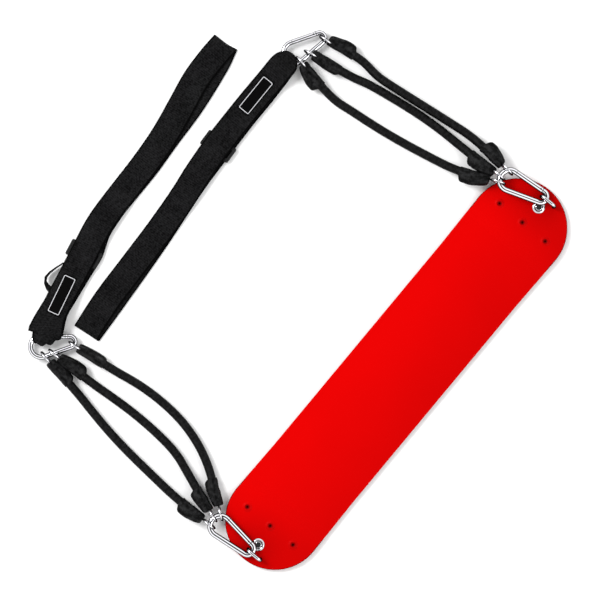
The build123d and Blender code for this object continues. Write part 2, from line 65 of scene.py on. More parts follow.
# ---------------------------------------------------------------------------
# The elastic cords: three on each side, each a 12 mm rubber core in a woven
# black cover. Each end is doubled back through a ring, and a rubber sleeve is
# shrunk over both strands, where the cut tail makes its one-sided shoulder.
# ---------------------------------------------------------------------------
class Shade:
    """One value in a material: a socket, with the usual arithmetic."""

    def __init__(self, kit, socket):
        self.kit = kit
        self.socket = socket

    def maths(self, operation, *values):
        return self.kit.node("ShaderNodeMath", dict(operation=operation), dict(enumerate(values)))

    def __add__(self, other):
        return self.maths("ADD", self, other)

    def __sub__(self, other):
        return self.maths("SUBTRACT", self, other)

    def __rsub__(self, other):
        return self.maths("SUBTRACT", other, self)

    def __mul__(self, other):
        return self.maths("MULTIPLY", self, other)

    def __lt__(self, other):
        return self.maths("LESS_THAN", self, other)

    def __abs__(self):
        return self.maths("ABSOLUTE", self)

    def sin(self):
        return self.maths("SINE", self)

    def exp(self):
        return self.maths("EXPONENT", self)

    def root(self):
        return self.maths("SQRT", self)

    def least(self, other):
        return self.maths("MINIMUM", self, other)

    def most(self, other):
        return self.maths("MAXIMUM", self, other)

    def unit(self):
        return self.most(0.0).least(1.0)

    __radd__ = __add__
    __rmul__ = __mul__


class Finish:
    """One node material on the usual shader, built up node by node."""

    def __init__(self, name, **sockets):
        self.material = bpy.data.materials.new(name)
        self.material.use_nodes = True
        self.tree = self.material.node_tree
        self.shader = self.tree.nodes["Principled BSDF"]
        self.give(self.shader, sockets)

    def give(self, node, sockets):
        for key, value in sockets.items():
            socket = node.inputs[key.replace("_", " ") if isinstance(key, str) else key]
            if isinstance(value, Shade):
                self.tree.links.new(value.socket, socket)
            else:
                socket.default_value = value

    def node(self, kind, settings=None, sockets=None, out=0):
        made = self.tree.nodes.new(kind)
        for key, value in (settings or {}).items():
            if key == "stops":
                ramp = made.color_ramp.elements
                while len(ramp) < len(value):
                    ramp.new(0.5)
                for element, (place, shade) in zip(ramp, value):
                    element.position = place
                    element.color = shade
            else:
                setattr(made, key, value)
        self.give(made, sockets or {})
        return Shade(self, made.outputs[out])

    def place(self):
        """Where the point is on the object, in metres."""
        return self.node("ShaderNodeTexCoord", out="Object")

    def axes(self, vector):
        return [self.node("ShaderNodeSeparateXYZ", None, {0: vector}, out=i) for i in range(3)]

    def upright(self):
        """How squarely the surface faces up or down: 1 where it is level, 0 on a wall."""
        return abs(self.axes(self.node("ShaderNodeTexCoord", out="Normal"))[2])

    def joined(self, x, y, z=0.0):
        return self.node("ShaderNodeCombineXYZ", None, {0: x, 1: y, 2: z})

    def noise(self, vector, scale, detail=2.0, rough=0.5):
        return self.node("ShaderNodeTexNoise", None,
                         dict(Vector=vector, Scale=scale, Detail=detail, Roughness=rough))

    def ramp(self, value, *stops):
        return self.node("ShaderNodeValToRGB", dict(stops=stops), dict(Fac=value))

    def blend(self, share, one, two):
        return self.node("ShaderNodeMix", dict(data_type="RGBA"), {0: share, 6: one, 7: two}, out=2)

    def relief(self, height, depth, strength=1.0):
        return self.node("ShaderNodeBump", None,
                         dict(Height=height, Distance=depth, Strength=strength))

    def finish(self, **sockets):
        self.give(self.shader, sockets)
        return self.material


def grey(level):
    return (level, level, level * 1.04, 1.0)


cord_thickness = 0.012
cord_sides = 32
cord_routes = {
    "left_cord_outer": [(-.3299, .1122, .0088), (-.3302, .1340, .0063), (-.3275, .170, .0063),
                        (-.3245, .212, .0062), (-.3195, .255, .0062), (-.3125, .293, .0064),
                        (-.3055, .3258, .0062), (-.3017, .3489, .0082)],
    "left_cord_middle": [(-.3037, .1069, .0096), (-.2937, .1343, .0063), (-.2817, .166, .0063),
                         (-.2776, .205, .0062), (-.2768, .248, .0062), (-.2790, .285, .0064),
                         (-.2819, .3186, .0062), (-.2823, .3396, .0079)],
    "left_cord_inner": [(-.2806, .1004, .0089), (-.2675, .1185, .0063), (-.2515, .152, .0063),
                        (-.2416, .190, .0062), (-.2390, .231, .0062), (-.2414, .269, .0064),
                        (-.2482, .3047, .0062), (-.2511, .3289, .0084)],
    "right_cord_inner": [(.2771, .1082, .0102), (.2712, .1236, .0065), (.2628, .161, .0063),
                         (.2540, .204, .0062), (.2472, .247, .0062), (.2432, .284, .0064),
                         (.2388, .3148, .0062), (.2436, .3438, .0090)],
    "right_cord_middle": [(.3027, .1111, .0112), (.3028, .1337, .0065), (.3027, .172, .0063),
                          (.2993, .214, .0062), (.2932, .255, .0062), (.2873, .290, .0064),
                          (.2801, .3122, .0062), (.2754, .3377, .0086)],
    "right_cord_outer": [(.3212, .1042, .0115), (.3235, .1292, .0065), (.3188, .166, .0075),
                         (.3114, .217, .0120), (.3060, .257, .0126), (.3032, .284, .0094),
                         (.3053, .301, .0064), (.3073, .3181, .0064), (.3043, .3359, .0085)],
}

full_turn = 2 * math.pi
pick_pitch = 0.0024         # from one cross thread of the cover to the next
strand_pitch = 0.0105
strands_each_way = 8

cover = Finish("cord_cover_weave", Specular_IOR_Level=0.06)
around, along, _ = cover.axes(cover.node("ShaderNodeUVMap", dict(uv_map="cord_wrap")))
picks = (along * (full_turn / pick_pitch)).sin()
left_strands = (along * (full_turn / strand_pitch) + around * (full_turn * strands_each_way)).sin()
right_strands = (along * (full_turn / strand_pitch) - around * (full_turn * strands_each_way)).sin()
braid = picks * 0.5 + left_strands * right_strands * 0.5
cover_wear = cover.noise(cover.place(), 240.0, 3.0)
# painted light: the cover's colour is lighter where it faces up and darker on its sides, as if lit from
# above
painted_top_light = ((cover.upright() - 0.35) * 1.7).unit()
cover_material = cover.finish(
    Base_Color=cover.blend((braid * 0.30 + (cover_wear - 0.5) * 1.8 + 0.40).unit() * painted_top_light,
                           grey(.0004), grey(.0150)),
    Roughness=cover_wear * 0.2 + 0.34,
    Normal=cover.relief(braid + cover_wear, 0.0004, 0.45),
)


def cord_line(name, route):
    """The cord's own line: one smooth curve, and the points that it runs through."""
    line = bpy.data.curves.new(name + "_line", "CURVE")
    line.dimensions = "3D"
    line.resolution_u = 14
    spline = line.splines.new("NURBS")
    spline.points.add(len(route) - 1)
    for point, place in zip(spline.points, route):
        point.co = (*place, 1.0)
    spline.order_u = 3
    spline.use_endpoint_u = True
    guide = bpy.data.objects.new(name + "_line", line)
    bpy.context.scene.collection.objects.link(guide)
    flat = bpy.data.meshes.new_from_object(guide)
    path = [vertex.co.copy() for vertex in flat.vertices]
    bpy.data.objects.remove(guide)
    bpy.data.meshes.remove(flat)
    return path


def wrap_cord(name, path):
    """A round cover drawn along the line, mapped around and along in metres."""
    mesh = bmesh.new()
    wrap = mesh.loops.layers.uv.new("cord_wrap")
    reached = 0.0
    rows = []
    across = Vector((0, 0, 1))
    for i, place in enumerate(path):
        ahead = (path[min(i + 1, len(path) - 1)] - path[max(i - 1, 0)]).normalized()
        across = (across - ahead * across.dot(ahead)).normalized()
        side = ahead.cross(across)
        reached += (place - path[max(i - 1, 0)]).length
        ring = []
        for k in range(cord_sides):
            turn = full_turn * k / cord_sides
            spoke = across * math.cos(turn) + side * math.sin(turn)
            ring.append(mesh.verts.new(place + spoke * cord_thickness / 2))
        rows.append((reached, ring))
    for (low, one), (high, two) in zip(rows, rows[1:]):
        for k in range(cord_sides):
            after = (k + 1) % cord_sides
            face = mesh.faces.new((one[k], one[after], two[after], two[k]))
            face.smooth = True
            for loop, (u, v) in zip(face.loops, ((k, low), (k + 1, low), (k + 1, high), (k, high))):
                loop[wrap].uv = (u / cord_sides, v)
    mesh.faces.new(rows[0][1])
    mesh.faces.new(rows[-1][1])
    bmesh.ops.recalc_face_normals(mesh, faces=mesh.faces)
    data = bpy.data.meshes.new(name)
    mesh.to_mesh(data)
    mesh.free()
    cord = bpy.data.objects.new(name, data)
    bpy.context.scene.collection.objects.link(cord)
    data.materials.append(cover_material)
    return cord


# how far along from the nose, half width, half thickness, sideways place of the middle
sleeve_rings = [
    (0.0000, .0045, .0040, .0000), (0.0001, .0058, .0052, .0000), (0.0010, .0070, .0059, .0000),
    (0.0035, .0079, .0063, .0003), (0.0090, .0085, .0065, .0010), (0.0150, .0090, .0067, .0016),
    (0.0210, .0095, .0068, .0022), (0.0270, .0098, .0068, .0026), (0.0335, .0099, .0068, .0027),
    (0.0380, .0098, .0067, .0026), (0.0408, .0091, .0066, .0019), (0.0424, .0080, .0065, .0008),
    (0.0435, .0071, .0065, .0000), (0.0440, .0067, .0064, .0000), (0.0439, .0062, .0061, .0000),
    (0.0390, .0060, .0060, .0000)]
longest_sleeve = 0.0440
cord_grip = 0.006           # the cord's end lies this far inside the sleeve's mouth
bulge_start = 0.0070        # past this, from the cord's line, the shoulder is drawn out
plain_bulge = 0.0052        # how far past it the shoulder goes before that
groove_place = 0.0035       # the groove between the two strands, from the cord's line
groove_spread = 0.0022
groove_depth = 0.0011
tail_thinning = 0.12        # the cut tail is this much thinner at its outer side
tail_side = 0.0097
across_squareness = 0.85
upright_squareness = 0.88
ring_draw = 0.001
sleeve_sides = 28


def sleeve_finish(name, gloss, shine_colour, wrinkle):
    rubber = Finish(name, Specular_IOR_Level=0.06, Coat_Roughness=0.10)
    where = rubber.place()
    around, along, _ = rubber.axes(rubber.node("ShaderNodeUVMap", dict(uv_map="sleeve_wrap")))
    streaks = rubber.noise(rubber.joined(around * 9.0, along * 45.0), 1.0, 3.0, 0.6)
    knit = rubber.noise(where, 1500.0, 2.0, 0.6)
    creases = rubber.noise(where, 190.0, 3.0, 0.65)
    # painted light: the sleeve's colour is lighter where it faces up and darker on its sides, as if lit
    # from above
    painted_top_light = ((rubber.upright() - 0.30) * 1.7).unit()
    tone = ((streaks - 0.5) * 3.0 + (creases - 0.5) * 3.0 + (knit - 0.5) * 2.0 + 0.40).unit() * painted_top_light
    return rubber.finish(
        Base_Color=rubber.blend(tone, grey(.0004), grey(shine_colour)),
        Roughness=rubber.ramp(creases, (0.3, grey(.34)), (0.75, grey(.60))),
        Coat_Weight=((streaks - 0.45) * 4.0).unit() * gloss,
        Normal=rubber.relief(knit * 0.3 + creases + streaks, wrinkle, 0.8),
    )


sleeve_matt = sleeve_finish("shrunk_sleeve_rubber", 0.12, .017, 0.0012)
sleeve_glossy = sleeve_finish("shrunk_sleeve_rubber_shiny", 1.0, .012, 0.0026)


def model_sleeve(name, inside, towards, bulge_side, bulge, length, dice):
    """A disc drawn out ring by ring, then each ring pressed to the sleeve's shape."""
    bpy.ops.object.select_all(action="DESELECT")
    bpy.ops.mesh.primitive_circle_add(vertices=sleeve_sides, radius=0.002, fill_type="NGON")
    sleeve = bpy.context.active_object
    sleeve.name = name
    bpy.ops.object.mode_set(mode="EDIT")
    for _ in sleeve_rings[1:]:
        bpy.ops.mesh.extrude_region_move(TRANSFORM_OT_translate=dict(value=(0, 0, ring_draw)))
    bpy.ops.mesh.select_all(action="DESELECT")
    bpy.ops.object.mode_set(mode="OBJECT")
    nose = inside - towards * (length - cord_grip)
    upright = (Vector((0, 0, 1)) - towards * towards.z).normalized()
    sideways = upright.cross(towards) * bulge_side
    lean = [dice.uniform(-0.0004, 0.0004) for _ in sleeve_rings]
    swell = [1 + dice.uniform(-0.025, 0.025) for _ in sleeve_rings]
    wrap = sleeve.data.uv_layers.new(name="sleeve_wrap")
    layer = [round(vertex.co.z / ring_draw) for vertex in sleeve.data.vertices]
    turn = [math.atan2(vertex.co.y, vertex.co.x) for vertex in sleeve.data.vertices]
    most_shift = max(ring[3] for ring in sleeve_rings)
    for face in sleeve.data.polygons:
        face.use_smooth = True
        turns = [turn[i] for i in face.vertices]
        split = max(turns) - min(turns) > math.pi
        for loop, i in zip(face.loop_indices, face.vertices):
            u = turn[i] + (full_turn if split and turn[i] < 0 else 0.0)
            wrap.data[loop].uv = (u / full_turn, sleeve_rings[layer[i]][0])
    for i, vertex in enumerate(sleeve.data.vertices):
        ahead, half_wide, half_thick, shift = sleeve_rings[layer[i]]
        ahead *= length / longest_sleeve
        free = 2 < layer[i] < len(sleeve_rings) - 3
        cosine, sine = math.cos(turn[i]), math.sin(turn[i])
        y = math.copysign(abs(cosine) ** across_squareness, cosine) * half_wide
        y *= swell[layer[i]] if free else 1
        z = math.copysign(abs(sine) ** upright_squareness, sine) * half_thick
        doubled = shift / most_shift
        groove = groove_depth * math.exp(-((y - groove_place) / groove_spread) ** 2) * doubled
        z -= math.copysign(groove, z)
        if y > 0:
            z *= 1 - tail_thinning * y / tail_side * doubled
        y += shift + (lean[layer[i]] if free else 0.0)
        if y > bulge_start:
            y = bulge_start + (y - bulge_start) * (bulge - bulge_start) / plain_bulge
        vertex.co = nose + towards * ahead + sideways * y + upright * z
    bpy.ops.object.mode_set(mode="EDIT")
    bpy.ops.mesh.select_all(action="SELECT")
    bpy.ops.mesh.normals_make_consistent(inside=False)
    bpy.ops.object.mode_set(mode="OBJECT")
    soft = sleeve.modifiers.new("soft_rubber", "SUBSURF")
    soft.levels = 1
    soft.render_levels = 1
    bpy.ops.object.modifier_apply(modifier="soft_rubber")
    return sleeve


# which side each sleeve bulges to, how far, and the sleeve's length: seat's end, strap's end
sleeve_shapes = {
    "left_cord_outer": ((1, .0140, .0400), (1, .0110, .0415)),
    "left_cord_middle": ((1, .0120, .0360), (1, .0130, .0440)),
    "left_cord_inner": ((1, .0115, .0395), (1, .0095, .0435)),
    "right_cord_inner": ((1, .0145, .0440), (-1, .0142, .0406)),
    "right_cord_middle": ((1, .0135, .0430), (-1, .0100, .0440)),
    "right_cord_outer": ((-1, .0140, .0375), (1, .0132, .0420)),
}
dice = random.Random(7)
for name, shapes in sleeve_shapes.items():
    body = name.split("_")[0] + "_cords"
    route = [Vector(point) for point in cord_routes[name]]
    path = cord_line(name, route)
    cord = wrap_cord(name + "_cover", path)
    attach(cord, body)
    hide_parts(name)
    ends = (("seat", route[0], route[1]), ("strap", route[-1], route[-2]))
    for (end, inside, outside), (bulge_side, bulge, length) in zip(ends, shapes):
        towards = (outside - inside).normalized()
        sleeve = model_sleeve(f"{name}_{end}_boot", inside, towards, bulge_side, bulge, length, dice)
        shiny = name == "left_cord_inner" and end == "strap"
        sleeve.data.materials.append(sleeve_glossy if shiny else sleeve_matt)
        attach(sleeve, body)
        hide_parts(f"{name}_{end}_sleeve")


# ---------------------------------------------------------------------------
# The seat: a flat belt of red moulded rubber with round ends. It is thicker
# over the steel insert at each end, where three small pin holes show how the
# insert was held in the mould.
# ---------------------------------------------------------------------------
pin_holes = [(side * 0.276, y) for side in (-1, 1) for y in (-0.0415, 0.0, 0.0415)]
hardware = [(-0.314, -0.004), (0.314, -0.006)]     # the rubber is drawn down round the steel
pin_rim = 0.0042            # the raised rim round each pin hole
# painted shade darkens the rubber in and round each pin hole, out to the radius below
hole_shade_reach = 0.0046           # its darkened well ends here

seat_red = (0.60, 0.0, 0.0, 1)
seat_shade = (0.36, 0.0, 0.0, 1)
seat_edge_shade_red = (0.10, 0.0, 0.0, 1)
hole_shade_red = (0.16, 0.0, 0.0, 1)

red = Finish("red_moulded_rubber", Specular_IOR_Level=0.025)
where = red.place()
x, y, _ = red.axes(where)
skin = red.noise(where, 1100.0, 2.0, 0.6)
cloud = red.noise(where, 9.0, 2.0)
rims = 0.0
painted_hole_shade = 0.0
for hole_x, hole_y in pin_holes:
    reach = ((x - hole_x) * (x - hole_x) + (y - hole_y) * (y - hole_y)).root()
    rims = ((reach - pin_rim) * (reach - pin_rim) * -260000.0).exp() + rims
    painted_hole_shade = ((hole_shade_reach - reach) * 500.0).unit() + painted_hole_shade
# round the anchor loop and rivet the rubber is dented in relief, and its colour is also darkened there
# as painted shade
dent_relief_and_shade = 0.0
for steel_x, steel_y in hardware:
    reach = (x - steel_x) * (x - steel_x) * 900.0 + (y - steel_y) * (y - steel_y) * 900.0
    dent_relief_and_shade = (reach * -1.0).exp() + dent_relief_and_shade
# painted shade: the seat's colour darkens towards its -Y side, away from the window light
painted_far_side_shade = ((0.045 - y) * 9.0).unit()
# painted shade: the colour is darker over both of the seat's thickened ends
ends = ((abs(x) - 0.255) * 40.0).unit()
# the mix of painted shade and random mottling that darkens the seat's red
shade = (painted_far_side_shade * 0.40 + dent_relief_and_shade * 0.45 + ends * 0.12 + (cloud - 0.5) * 0.25).unit()
tone = red.blend(shade, seat_red, seat_shade)
# painted shade: the rounded edge, where the surface turns from level towards upright, is darkened
tone = red.blend(((0.95 - red.upright()) * 4.0).unit() * 0.85, tone, seat_edge_shade_red)
# painted shade in the pin holes: their wells and a ring round them are darkened
tone = red.blend(painted_hole_shade.unit() * 0.9, tone, hole_shade_red)
red_material = red.finish(
    Base_Color=tone,
    Roughness=skin * 0.18 + 0.40,
    Normal=red.relief(skin * 0.10 + rims * 2.6 - dent_relief_and_shade * 4.0, 0.0005, 0.9),
)


def dress(material, *nodes):
    """Give CAD pieces their finish."""
    for node in nodes:
        for slot in bpy.data.objects[node].material_slots:
            slot.material = material


dress(red_material, "seat")

# ---------------------------------------------------------------------------
# The steel in the seat's ends: an insert plate in red primer, sealed in the
# rubber, and through it a bent rod loop and a rivet closed over a cupped
# washer, all three zinc plated.
# ---------------------------------------------------------------------------
sides = ("left", "right")
primer = Finish("insert_primer", Metallic=0.0, Specular_IOR_Level=0.1)
primer_grain = primer.noise(primer.place(), 700.0, 3.0)
primer_material = primer.finish(
    Base_Color=primer.blend(primer_grain, (.16, .002, .002, 1), (.26, .004, .004, 1)),
    Roughness=primer_grain * 0.3 + 0.6)
dress(primer_material, *(f"{side}_insert_plate" for side in sides))


def bright_steel(name, light, dark, rough, rub_scale):
    steel = Finish(name, Metallic=1.0, Specular_Tint=(0.02, 0.02, 0.02, 1.0))
    where = steel.place()
    smudge = steel.noise(where, rub_scale, 4.0, 0.6)
    scratch = steel.noise(where, rub_scale * 14.0, 2.0, 0.7)
    # painted reflection: where the steel turns away from level its colour is darkened, standing in for
    # the dark band of a chrome reflection
    painted_dark_flanks = ((0.80 - steel.upright()) * 5.0).unit()
    tone = steel.blend(((smudge - 0.35) * 2.5).unit(), grey(dark), grey(light))
    return steel.finish(
        Base_Color=steel.blend(painted_dark_flanks * 0.90, tone, grey(.03)),
        Roughness=smudge * rough + scratch * rough * 0.5 + rough * 0.3,
        Normal=steel.relief(scratch * 0.2 + smudge, 0.0003, 0.06),
    )


plated = bright_steel("zinc_plated_rod", 1.0, 0.80, 0.06, 70.0)
dress(plated, *(f"{side}_{piece}" for side in sides for piece in ("anchor_loop", "anchor_rivet")))

# the washer's closed section: share of its radius, share of the rivet head's height
washer_section = ((0.57, 0.10), (0.60, 0.48), (0.66, 0.72), (0.73, 0.86), (0.80, 0.88), (0.87, 0.76),
                  (0.93, 0.58), (0.99, 0.45), (1.00, 0.40), (1.00, 0.05), (0.95, 0.0), (0.62, 0.0))
washer_sides = 48


def cup_washer(side):
    """A washer pressed to a cup round the rivet's head: a hoop drawn out round its section."""
    low, high = (Vector(corner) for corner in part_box(f"{side}_rivet_washer"))
    middle = (low + high) / 2
    radius = (high.x - low.x) / 2
    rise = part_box(f"{side}_anchor_rivet")[1][2] - low.z
    bpy.ops.object.select_all(action="DESELECT")
    bpy.ops.mesh.primitive_circle_add(vertices=washer_sides, radius=0.002)
    washer = bpy.context.active_object
    washer.name = side + "_cupped_washer"
    bpy.ops.object.mode_set(mode="EDIT")
    for _ in washer_section:
        bpy.ops.mesh.extrude_region_move(TRANSFORM_OT_translate=dict(value=(0, 0, ring_draw)))
    bpy.ops.object.mode_set(mode="OBJECT")
    for vertex in washer.data.vertices:
        share, height = washer_section[round(vertex.co.z / ring_draw) % len(washer_section)]
        turn = math.atan2(vertex.co.y, vertex.co.x)
        dent = 1 + 0.05 * math.sin(3 * turn + share * 5.0) + 0.03 * math.sin(5 * turn + share * 9.0)
        vertex.co = (middle.x + math.cos(turn) * share * radius,
                     middle.y + math.sin(turn) * share * radius, low.z + rise * height * dent)
    for face in washer.data.polygons:
        face.use_smooth = True
    bpy.ops.object.mode_set(mode="EDIT")
    bpy.ops.mesh.select_all(action="SELECT")
    bpy.ops.mesh.remove_doubles(threshold=0.00001)
    bpy.ops.mesh.normals_make_consistent(inside=False)
    bpy.ops.object.mode_set(mode="OBJECT")
    washer.data.materials.append(plated)
    return washer


for side in sides:
    washer = cup_washer(side)
    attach(washer, "seat")
    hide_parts(f"{side}_rivet_washer")

# ---------------------------------------------------------------------------
# The snap hooks: pear-shaped, bent from polished round steel, with a sprung
# gate on a riveted pin. The larger hangs on the seat, the smaller on the strap.
# ---------------------------------------------------------------------------
polished = bright_steel("polished_hook_steel", 1.0, 0.92, 0.03, 50.0)
spring_wire = bright_steel("spring_wire", 0.55, 0.35, 0.25, 300.0)
for side in sides:
    for hook in ("seat_hook", "strap_hook"):
        dress(polished, f"{side}_{hook}", f"{side}_{hook}_gate", f"{side}_{hook}_gate_pin")
        dress(spring_wire, f"{side}_{hook}_gate_spring")

# ---------------------------------------------------------------------------
# The rings: small closed loops of stainless wire. One is held in the doubled
# end of each cord, and is threaded on a hook.
# ---------------------------------------------------------------------------
stainless = bright_steel("stainless_ring_wire", 1.0, 0.80, 0.045, 120.0)
dress(stainless, *(f"{side}_{end}_rings" for side in sides for end in ("seat", "strap")))

# ---------------------------------------------------------------------------
# The straps: on each side one long loop of 38 mm black polyester webbing. It
# passes round the hook, where it gathers, lies doubled on the floor, and folds
# back on itself at its far end.
# ---------------------------------------------------------------------------
webbing_width = 0.0381
webbing_thickness = 0.0016
weave_cells = 14            # across the webbing's width
row_step = 0.004
flat_step = 0.016           # between the rows that set the flat stretches
hook_fold_middle = 0.0089   # height of the middle of the fold round the hook
hook_fold_radius = 0.0060
far_fold_reach = 0.0011
gather_reach = 0.016        # the folds of the gathered end fade out over this
on_floor = 0.003            # webbing lower than this lies on the floor
off_floor = 0.005           # higher than this it is free to fold either way
ripple_depth = 0.0003
ripples_per_metre = 60.0
slack_cells = 4             # across the drawn-out slack
slack_cell = (0.002, 0.008)

rib_pitch = 0.0030
warp_pitch = 0.0024
twill_pitch = 0.0052
selvedge_start = 0.0168     # from the webbing's middle

webbing = Finish("black_polyester_webbing", Specular_IOR_Level=0.045)
across, along, _ = webbing.axes(webbing.node("ShaderNodeUVMap", dict(uv_map="weave")))
ribs = (along * (full_turn / rib_pitch)).sin()
warp = (across * (full_turn / warp_pitch)).sin()
twill = ((along + across) * (full_turn / twill_pitch)).sin()
cloth = ribs * 0.45 + ribs * warp * 0.35 + twill * 0.2
selvedge = ((abs(across) - selvedge_start) * 1800.0).unit()
fuzz = webbing.noise(webbing.place(), 320.0, 4.0, 0.65)
patches = webbing.noise(webbing.place(), 28.0, 2.0)
webbing_material = webbing.finish(
    Base_Color=webbing.blend((cloth * 0.28 + (fuzz - 0.5) * 2.6 + (patches - 0.5) * 0.8 + 0.45
                              - selvedge * 0.9).unit(), grey(.0004), grey(.0135)),
    Roughness=fuzz * 0.25 + 0.62,
    Normal=webbing.relief(cloth * (1 - selvedge * 0.6) + fuzz * 0.6, 0.0006, 0.8),
)


def metres(*points):
    return [Vector(point) / 1000.0 for point in points]


def between(p0, p1, p2, p3, t):
    """The point at share t on the way from p1 to p2, on a smooth line through all four."""
    return 0.5 * (2 * p1 + (p2 - p0) * t + (2 * p0 - 5 * p1 + 4 * p2 - p3) * t ** 2
                  + (3 * p1 - p0 - 3 * p2 + p3) * t ** 3)


def smooth_line(points, step):
    """A smooth line through the points, cut into steps of about the given length."""
    line = []
    for i, (p1, p2) in enumerate(zip(points, points[1:])):
        p0, p3 = points[max(i - 1, 0)], points[min(i + 2, len(points) - 1)]
        pieces = max(1, round((p2 - p1).length / step))
        line += [between(p0, p1, p2, p3, k / pieces) for k in range(pieces)]
    return line + [points[-1]]


# middle lines of the two layers, the heights of their undersides along X, the edge
# points of the gathered end, row by row from the flat webbing to the fold, and the
# lower and upper edges of any slack that is drawn out on edge beside the slider
straps = {
    "left": dict(
        upper=metres((202.5, 480.8), (180, 481.6), (140, 479.8), (100, 472.5), (50, 463.5), (0, 459),
                     (-60, 456.8), (-105, 453.5), (-150, 444.0), (-190, 435.5), (-214, 430.3)),
        upper_heights=((-.300, .0141), (-.250, .0141), (-.196, .0061), (-.096, .0061), (-.040, .0020),
                       (.300, .0020)),
        lower=metres((-214, 428.8), (-190, 432.6), (-167, 436.0), (-142, 439.6), (-115, 450.0),
                     (-85, 454.6), (-60, 456),
                     (0, 456.6), (50, 460), (100, 462.6), (140, 467.2), (180, 473.8), (202, 480)),
        lower_heights=((-.300, .0021), (-.096, .0021), (-.040, .0001), (.300, .0001)),
        end=[metres(*row) for row in (
            ((-232, 445.2), (-224, 408.2)), ((-246, 442.9), (-233.5, 405.6)),
            ((-262, 440.4), (-240, 402.8)), ((-276, 437.4), (-244, 400.6)),
            ((-281.5, 434.4), (-247.5, 398.6)), ((-278.5, 428.5), (-250.5, 397.2)),
            ((-284.0, 425.0), (-253.0, 395.9)), ((-288.6, 420.5), (-255.8, 394.4)),
            ((-290.0, 417.0), (-258.0, 393.5)))],
        lobes=3.0, lobe_depth=0.0013, bow=0.0065,
        slack=(
            metres((-214, 446, 8.0), (-214.5, 454, 6.5), (-213.3, 460, 4.5), (-208, 463.3, 2.6),
                   (-200, 463.4, 2.2), (-190, 461.2, 3.0), (-178, 457.5, 4.2)),
            metres((-223, 444, 9.5), (-221, 452, 12.0), (-216.5, 459, 13.5), (-209, 464.4, 13.0),
                   (-200, 464.2, 10.5), (-190, 461.8, 7.5), (-178, 458.0, 5.6))),
    ),
    "right": dict(
        upper=metres((-232.5, 371.6), (-180, 378), (-120, 380.8), (-60, 383.5), (0, 388.3), (40, 393.4),
                     (85, 397.0), (140, 398.6), (180, 398.9), (218, 398.4)),
        upper_heights=((-.300, .0020), (-.020, .0020), (.036, .0061), (.205, .0061), (.228, .0141),
                       (.300, .0141)),
        lower=metres((218, 397.6), (180, 396.4), (140, 396.2), (90, 394.2), (40, 392), (0, 388.4),
                     (-50, 382.6), (-100, 377.9), (-180, 371.9), (-231, 368.8)),
        lower_heights=((-.300, .0001), (-.020, .0001), (.036, .0021), (.300, .0021)),
        end=[metres(*row) for row in (
            ((226, 417.3), (225.5, 379.2)), ((233, 416.5), (232.5, 379.2)),
            ((239.5, 414.4), (239.0, 380.0)), ((244.5, 411.2), (244.0, 382.8)),
            ((247.8, 407.8), (247.6, 386.6)), ((249.8, 404.6), (249.8, 389.8)),
            ((250.8, 401.4), (250.8, 393.0)))],
        lobes=2.5, lobe_depth=0.0007, bow=0.0008,
        slack=None,
    ),
}


def height_at(heights, x):
    for (x0, z0), (x1, z1) in zip(heights, heights[1:]):
        if x <= x1:
            return z0 + (z1 - z0) * (x - x0) / (x1 - x0)
    return heights[-1][1]


def flat_rows(line, heights):
    """Edge points of webbing that lies along a line, at its height."""
    rows = []
    for i, place in enumerate(line):
        ahead = (line[min(i + 1, len(line) - 1)] - line[max(i - 1, 0)]).normalized()
        side = Vector((-ahead.y, ahead.x)) * webbing_width / 2
        z = height_at(heights, place.x) + webbing_thickness / 2
        rows.append((Vector((*(place + side), z)), Vector((*(place - side), z))))
    return rows


def fold_middle(strap):
    """Where the gathered end turns round the hook, in plan, and which way it points."""
    last, before = ((left + right) / 2 for left, right in (strap["end"][-1], strap["end"][-3]))
    return last, (last - before).normalized()


def end_rows(strap, layer):
    """The gathered end's rows for one layer, bent down towards the fold."""
    last, outward = fold_middle(strap)
    rows = []
    for left, right in strap["end"]:
        away = (last - (left + right) / 2).dot(outward)
        bend = max(0.0, 1 - away / hook_fold_radius)
        full = height_at(strap[layer + "_heights"], (left.x + right.x) / 2) + webbing_thickness / 2
        z = hook_fold_middle + (full - hook_fold_middle) * math.sqrt(1 - bend ** 2)
        rows.append((Vector((*left, z)), Vector((*right, z))))
    return rows


def loop_rows(strap):
    """Edge points right round: upper layer, gathered fold, lower layer, far fold."""
    upper = flat_rows(smooth_line(strap["upper"], flat_step), strap["upper_heights"])
    lower = flat_rows(smooth_line(strap["lower"], flat_step), strap["lower_heights"])
    over, under = end_rows(strap, "upper"), end_rows(strap, "lower")
    # The upper layer says which edge comes first. The lower one runs the other way.
    if (over[0][0] - upper[-1][0]).length > (over[0][1] - upper[-1][0]).length:
        over = [(b, a) for a, b in over]
        under = [(b, a) for a, b in under]
    lower = [(b, a) for a, b in lower]
    outward = (upper[0][0] + upper[0][1] - upper[1][0] - upper[1][1]).normalized()
    far = []
    for turn in (50.0, 90.0, 130.0):
        share = (1 - math.cos(math.radians(turn))) / 2
        far.append(tuple(low.lerp(high, share) + outward * math.sin(math.radians(turn)) * far_fold_reach
                         for low, high in zip(lower[-1], upper[0])))
    return upper + over + under[-2::-1] + lower + far


def matched_edges(rows):
    """Both edges in short steps. The right one is cut where the left one is, to keep rows square."""
    lefts = smooth_line([row[0] for row in rows] + [rows[0][0]], row_step)
    rights = []
    closed = rows + rows[:1] + rows[-1:]
    for i, (a, b) in enumerate(zip(closed, closed[1:-1])):
        before, after = rows[max(i - 1, 0)], closed[i + 2]
        pieces = max(1, round((b[0] - a[0]).length / row_step))
        rights += [between(before[1], a[1], b[1], after[1], k / pieces) for k in range(pieces)]
    return list(zip(lefts[:-1], rights))


def join_rows(mesh, weave, row, following, across, along):
    """A strip of cells between two rows, mapped in metres across and along the cloth."""
    for k in range(len(row) - 1):
        face = mesh.faces.new((row[k], row[k + 1], following[k + 1], following[k]))
        face.smooth = True
        for loop, (u, v) in zip(face.loops, ((k, 0), (k + 1, 0), (k + 1, 1), (k, 1))):
            loop[weave].uv = (across[u], along[v])


